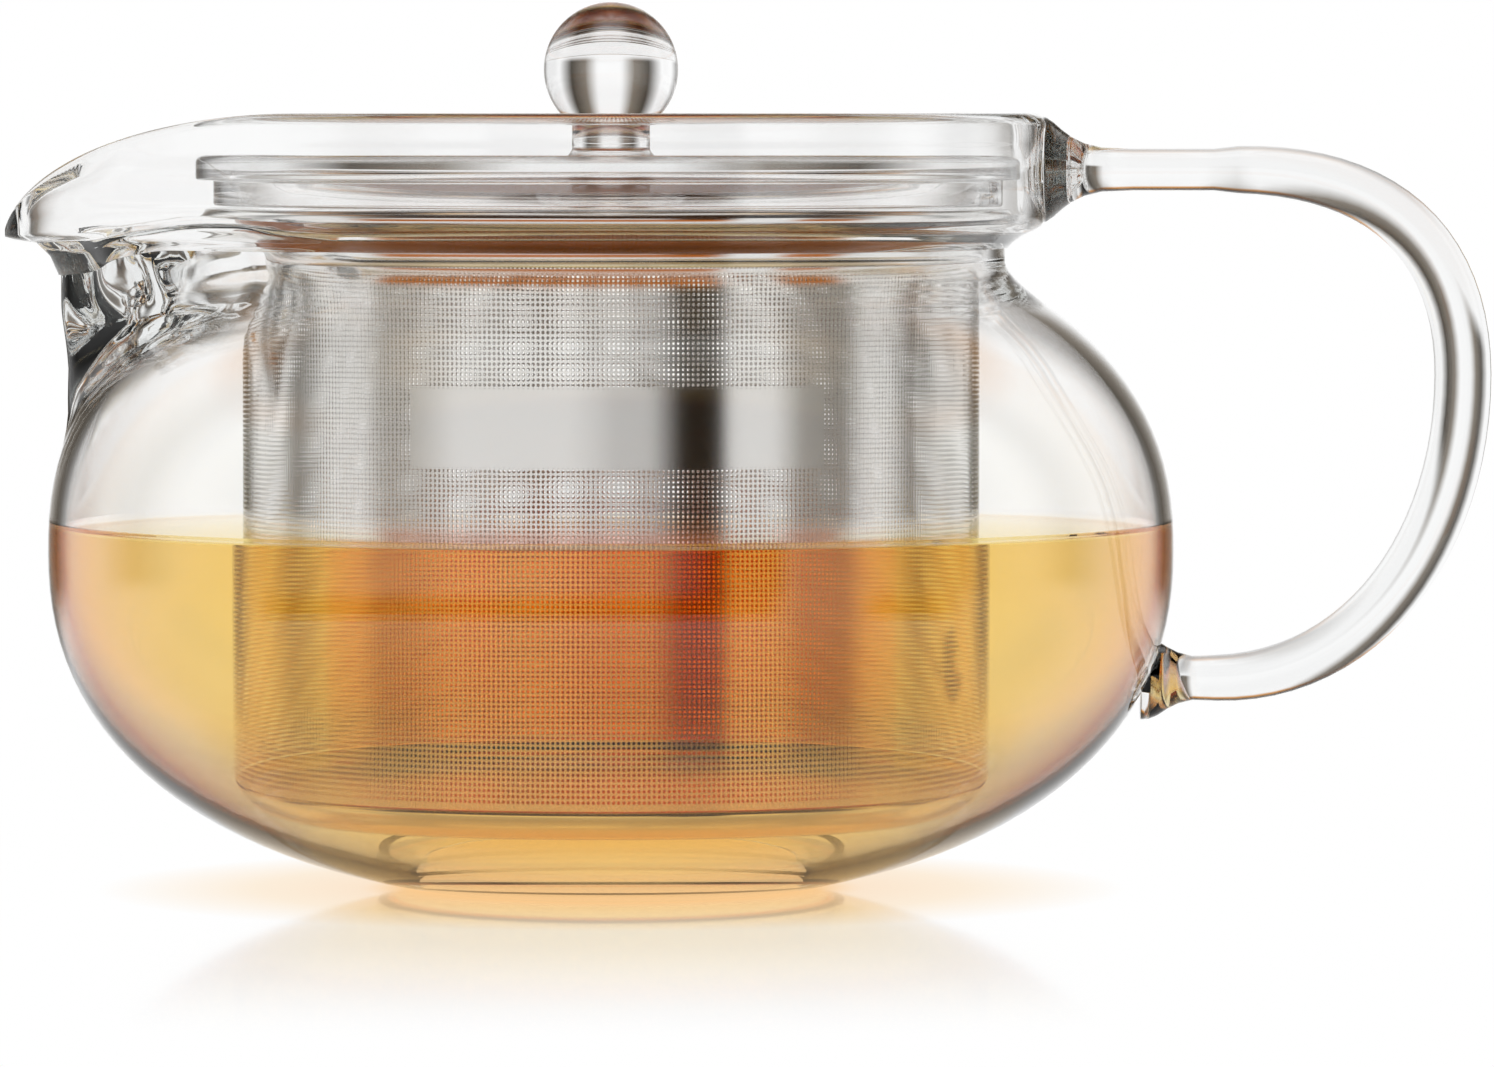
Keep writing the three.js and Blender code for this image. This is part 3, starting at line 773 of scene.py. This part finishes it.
def spun_steel():
    """Satin steel with the fine rings that the spinning tool leaves. Where the sleeve passes the glass
    ledge an amber band is painted on, mostly not metallic: a painted reflection of the tea in the
    ledge."""
    material = new_material("stainless steel, spun satin")
    tree = material.node_tree
    place = add(tree, "ShaderNodeTexCoord").outputs["Object"]
    stretch = add(tree, "ShaderNodeMapping", {"Vector": place, "Scale": RING_SCALE})
    rings = add(tree, "ShaderNodeTexNoise", {"Vector": stretch.outputs[0], "Scale": 1.0})
    rough = add(
        tree,
        "ShaderNodeMapRange",
        {"Value": rings.outputs["Fac"], "To Min": SMOOTHEST, "To Max": ROUGHEST},
    )
    parts = add(tree, "ShaderNodeSeparateXYZ", {"Vector": place})
    height = maths(tree, "DIVIDE", parts.outputs[2], MM)
    # Between these heights the sleeve is painted amber (#D07C1A) and mostly not metallic: a painted
    # reflection of the tea that the glass ledge mirrors up.
    centre = (painted_reflection_top + painted_reflection_bottom) / 2
    painted_reflection = maths(tree, "COMPARE", height, centre, painted_reflection_top - centre)
    glow = maths(tree, "MULTIPLY", painted_reflection, PAINTED_REFLECTION_SHARE)
    body = add(
        tree,
        "ShaderNodeBsdfPrincipled",
        {
            "Base Color": mixed(tree, painted_reflection, steel_tone(tree), linear("#D07C1A")),
            "Metallic": maths(tree, "SUBTRACT", 1.0, glow),
            "Roughness": rough.outputs[0],
        },
    )
    add(tree, "ShaderNodeOutputMaterial", {"Surface": body.outputs[0]})
    return material


# %% Stainless sheet, etched with holes
PLATE = (-23.3, 25.9, 54.0, 63.3)  # left, right, foot and top of the plain panel, mm
HOLE_RADIUS = 0.34  # in hole pitches
BARE_EDGE = 1.2  # rows without holes at the foot and the top of the sheet
SHEET_ROUGHNESS = 0.14
WET_FILM = 0.5  # how much of the view the steel lets through under the tea


def etched_sheet():
    """Round holes in a square grid, two thirds as wide as their pitch, around a plain panel."""
    material = new_material("stainless sheet, photo-etched holes")
    tree = material.node_tree
    grid = add(tree, "ShaderNodeUVMap", uv_map="holes").outputs[0]
    parts = add(tree, "ShaderNodeSeparateXYZ", {"Vector": grid})

    u = maths(tree, "SUBTRACT", maths(tree, "FRACT", parts.outputs[0]), 0.5)
    v = maths(tree, "SUBTRACT", maths(tree, "FRACT", parts.outputs[1]), 0.5)
    square = maths(tree, "ADD", maths(tree, "MULTIPLY", u, u), maths(tree, "MULTIPLY", v, v))
    hole = maths(tree, "LESS_THAN", square, HOLE_RADIUS**2)
    left, right = (math.asin(x / basket_radius) / (2 * math.pi) * HOLES_ROUND for x in PLATE[:2])
    foot, top = ((z - sheet_foot) / hole_pitch for z in PLATE[2:])
    across = maths(tree, "COMPARE", parts.outputs[0], (left + right) / 2, (right - left) / 2)
    up = maths(tree, "COMPARE", parts.outputs[1], (foot + top) / 2, (top - foot) / 2)
    punched = maths(tree, "SUBTRACT", 1.0, maths(tree, "MULTIPLY", across, up))
    half = (sheet_top - sheet_foot) / hole_pitch / 2
    within = maths(tree, "COMPARE", parts.outputs[1], half, half - BARE_EDGE)
    gaps = maths(tree, "MULTIPLY", maths(tree, "MULTIPLY", hole, punched), within)
    wet = maths(tree, "LESS_THAN", parts.outputs[1], (TEA_LEVEL - sheet_foot) / hole_pitch)
    film = maths(tree, "MULTIPLY", wet, WET_FILM)
    gaps = maths(tree, "MAXIMUM", gaps, film)
    body = add(
        tree,
        "ShaderNodeBsdfPrincipled",
        {"Base Color": steel_tone(tree), "Metallic": 1.0, "Roughness": SHEET_ROUGHNESS},
    )
    clear = add(tree, "ShaderNodeBsdfTransparent")
    both = add(
        tree, "ShaderNodeMixShader", {0: gaps, 1: body.outputs[0], 2: clear.outputs[0]}
    )
    add(tree, "ShaderNodeOutputMaterial", {"Surface": both.outputs[0]})
    return material


steel_material = spun_steel()
sheet_material = etched_sheet()
print(steel_material.name, "and", sheet_material.name)

# %% [markdown]
# ## Putting it together
# Each piece gets its finish, the body that it moves with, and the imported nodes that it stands
# for. The tea stands for no node: it is only in the pot, and stays there when the basket lifts.

# %% Give each piece its finish, its body and the nodes that it stands for
def dress(piece, material, body, slot, *nodes):
    """Finishes a piece, lets it ride on a body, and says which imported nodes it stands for."""
    piece.data.materials.clear()
    piece.data.materials.append(material)
    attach(piece, body)
    if nodes:
        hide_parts(*nodes)


dress(pot, pot_material, "pot", "clear_glass", "bowl", "spout", "collar", "handle")
dress(lid, lid_material, "lid", "lid_glass", "lid_disc", "lid_knob")
dress(flange, steel_material, "infuser", "spun_steel", "infuser_rim")
dress(cup, steel_material, "infuser", "spun_steel", "infuser_base")
dress(sheet, sheet_material, "infuser", "etched_steel_sheet", "infuser_wall")
dress(tea, tea_material, "pot", None)
dress(strong_tea, strong_material, "pot", None)
dress(deep_tea, deep_material, "pot", None)

# %% [markdown]
# ## The light table
# A sheet of white acrylic, lit from below, which mirrors the pot towards the foot and fades to
# plain white at its edge. Light that real tea throws on a table comes out noisy in a render, so
# the table itself glows a little warmer round the foot. Right under the foot it doesn't mirror.

# %% Light table
TABLE_RADIUS = 200
MIRROR_NEAR, MIRROR_END, MIRROR_SHARE = 50, 199, 0.45
FOOT_START, FOOT_END = 24, 32  # the mirror sets in between these radii
MIRROR_ROUGHNESS = 0.06
bpy.ops.object.select_all(action="DESELECT")
bpy.ops.mesh.primitive_circle_add(vertices=128, radius=TABLE_RADIUS * MM, fill_type="NGON")
table = bpy.context.object
table.name = "light_table"
acrylic = new_material("lit white acrylic")
tree = acrylic.node_tree
place = add(tree, "ShaderNodeTexCoord").outputs["Object"]
distance = add(tree, "ShaderNodeVectorMath", {0: place}, operation="LENGTH").outputs["Value"]
gloss = eased(tree, distance, MIRROR_NEAR * MM, MIRROR_END * MM, MIRROR_SHARE, 0.0)
beyond_foot = eased(tree, distance, FOOT_START * MM, FOOT_END * MM)
share = maths(tree, "MULTIPLY", gloss, beyond_foot)
light = ramp(
    tree,
    maths(tree, "DIVIDE", distance, TABLE_RADIUS * MM),
    [(0.0, "#FFDCA6"), (0.12, "#FAD09A"), (0.22, "#FBE3C0"), (0.32, "#FFFFFF")],
)
glow = add(tree, "ShaderNodeEmission", {"Color": light, "Strength": 1.0})
mirror = add(tree, "ShaderNodeBsdfGlossy", {"Color": WHITE, "Roughness": MIRROR_ROUGHNESS})
both = add(
    tree, "ShaderNodeMixShader", {0: share, 1: glow.outputs[0], 2: mirror.outputs[0]}
)
add(tree, "ShaderNodeOutputMaterial", {"Surface": both.outputs[0]})
table.data.materials.append(acrylic)
print("table of", TABLE_RADIUS, "mm radius")

# %% [markdown]
# ## The studio
# Glass is photographed against the light: a bright backdrop shines through it, and dark cards
# beside the backdrop draw its edges. Here the world itself holds the cards, as colours by
# direction, because real cards would stand in the picture from one side or another. Left and
# right differ, because the beak and the handle need different edges.

# %% Cards round the table
world = bpy.data.worlds.new("studio")
world.use_nodes = True
bpy.context.scene.world = world
tree = world.node_tree
tree.nodes.clear()
direction = add(tree, "ShaderNodeTexCoord").outputs["Generated"]
parts = add(tree, "ShaderNodeSeparateXYZ", {"Vector": direction})
turn = maths(tree, "ARCTAN2", parts.outputs[0], parts.outputs[1])  # 0 is behind the pot
compass = maths(tree, "ADD", maths(tree, "DIVIDE", turn, 2 * math.pi), 0.5)


def ring(stops):
    """Colours round the horizon, by degrees from straight behind the pot."""
    return ramp(tree, compass, [((degrees + 180) / 360, colour) for degrees, colour in stops])


around = ring([
    (-180, "#E8E8E8"), (-168, "#FFFFFF"), (-132, "#FFFFFF"), (-117, "#D6D4D0"), (-106, "#CCCAC6"),
    (-98, "#FFFFFF"), (-82, "#FFFFFF"), (-67, "#8F8E8C"), (-53, "#FFFFFF"), (-37, "#FFFFFF"),
    (-24, "#5A554E"), (-14, "#8E867C"), (-6.5, "#FFFFFF"), (6.5, "#FFFFFF"), (14, "#8E867C"),
    (24, "#5A554E"), (36, "#FFFFFF"), (60, "#F4F4F4"), (72, "#9A9896"), (84, "#FFFFFF"),
    (94, "#FFFFFF"), (103, "#A5A39F"), (118, "#B5B3AF"), (128, "#FFFFFF"), (142, "#FFFFFF"),
    (146, "#0E0D0C"), (158, "#141312"), (167, "#E0E0E0"),
])
print("cards all round, on the horizon")

# %% Which directions stay white below the horizon
clear = ring([
    (-180, "#000000"), (-108, "#000000"), (-100, "#FFFFFF"), (100, "#FFFFFF"),
    (108, "#000000"), (122, "#000000"), (128, "#FFFFFF"), (142, "#FFFFFF"),
    (148, "#000000"),
])

# %% Light from above and below
# High up behind the pot an amber and dark step draws the lines of rim, lid and knob. In front
# everything high is dark, so that the glass mirrors as little as it can.
height = maths(tree, "DIVIDE", maths(tree, "ARCSINE", parts.outputs[2]), math.pi / 2)
behind = ramp(tree, height, [
    (0.0, "#FFFFFF"), (0.38, "#FFFFFF"), (0.45, "#D9973F"), (0.54, "#2A1A0C"),
    (0.64, "#2A1A0C"), (0.72, "#E8C9A0"), (0.80, "#FFFFFF"), (1.0, "#FFFFFF"),
])
before = ramp(tree, height, [
    (0.0, "#FFFFFF"), (0.09, "#FFFFFF"), (0.14, "#242220"), (0.50, "#0C0C0C"),
    (0.78, "#101010"), (0.86, "#FFFFFF"), (1.0, "#FFFFFF"),
])
FRONT_START, FRONT_FULL = 0.15, -0.35
front = eased(tree, parts.outputs[1], FRONT_START, FRONT_FULL)  # 0 behind the pot, 1 before it
drop = maths(tree, "MULTIPLY", parts.outputs[2], -1.0)
# How far below the horizon the warm cards set in: behind the pot, and how much more before it.
START_BEHIND, START_MORE = 0.07, 0.03
FULL_BEHIND, FULL_MORE = 0.14, 0.06
warm_start = maths(tree, "MULTIPLY_ADD", front, START_MORE, START_BEHIND)
warm_full = maths(tree, "MULTIPLY_ADD", front, FULL_MORE, FULL_BEHIND)
low = eased(tree, drop, warm_start, warm_full)
rise = mixed(tree, front, behind, before)
level = mixed(tree, 1.0, around, rise, blend_type="MULTIPLY")
warm = mixed(tree, clear, linear("#C8741C"), WHITE)
backdrop = mixed(tree, low, level, warm)
sky = add(tree, "ShaderNodeBackground", {"Color": backdrop, "Strength": 1.0})
add(tree, "ShaderNodeOutputWorld", {"Surface": sky.outputs[0]})
print("world of", len(tree.nodes), "nodes")

# %% [markdown]
# ## Light paths and tone
# In the thick parts light runs round between two faces many times before it comes out. With the
# usual number of bounces those parts turn black, so it may bounce more often here. The Standard
# view keeps the backdrop white, and a gamma below 1 deepens the middle tones.

# %% Light paths and tone
BOUNCES, MIRROR_BOUNCES = 40, 32
VIEW_GAMMA = 0.86
scene = bpy.context.scene
scene.view_settings.view_transform = "Standard"
scene.view_settings.gamma = VIEW_GAMMA
scene.cycles.max_bounces = BOUNCES
scene.cycles.transmission_bounces = BOUNCES
scene.cycles.transparent_max_bounces = BOUNCES
scene.cycles.glossy_bounces = MIRROR_BOUNCES
print("up to", BOUNCES, "bounces, gamma", VIEW_GAMMA)
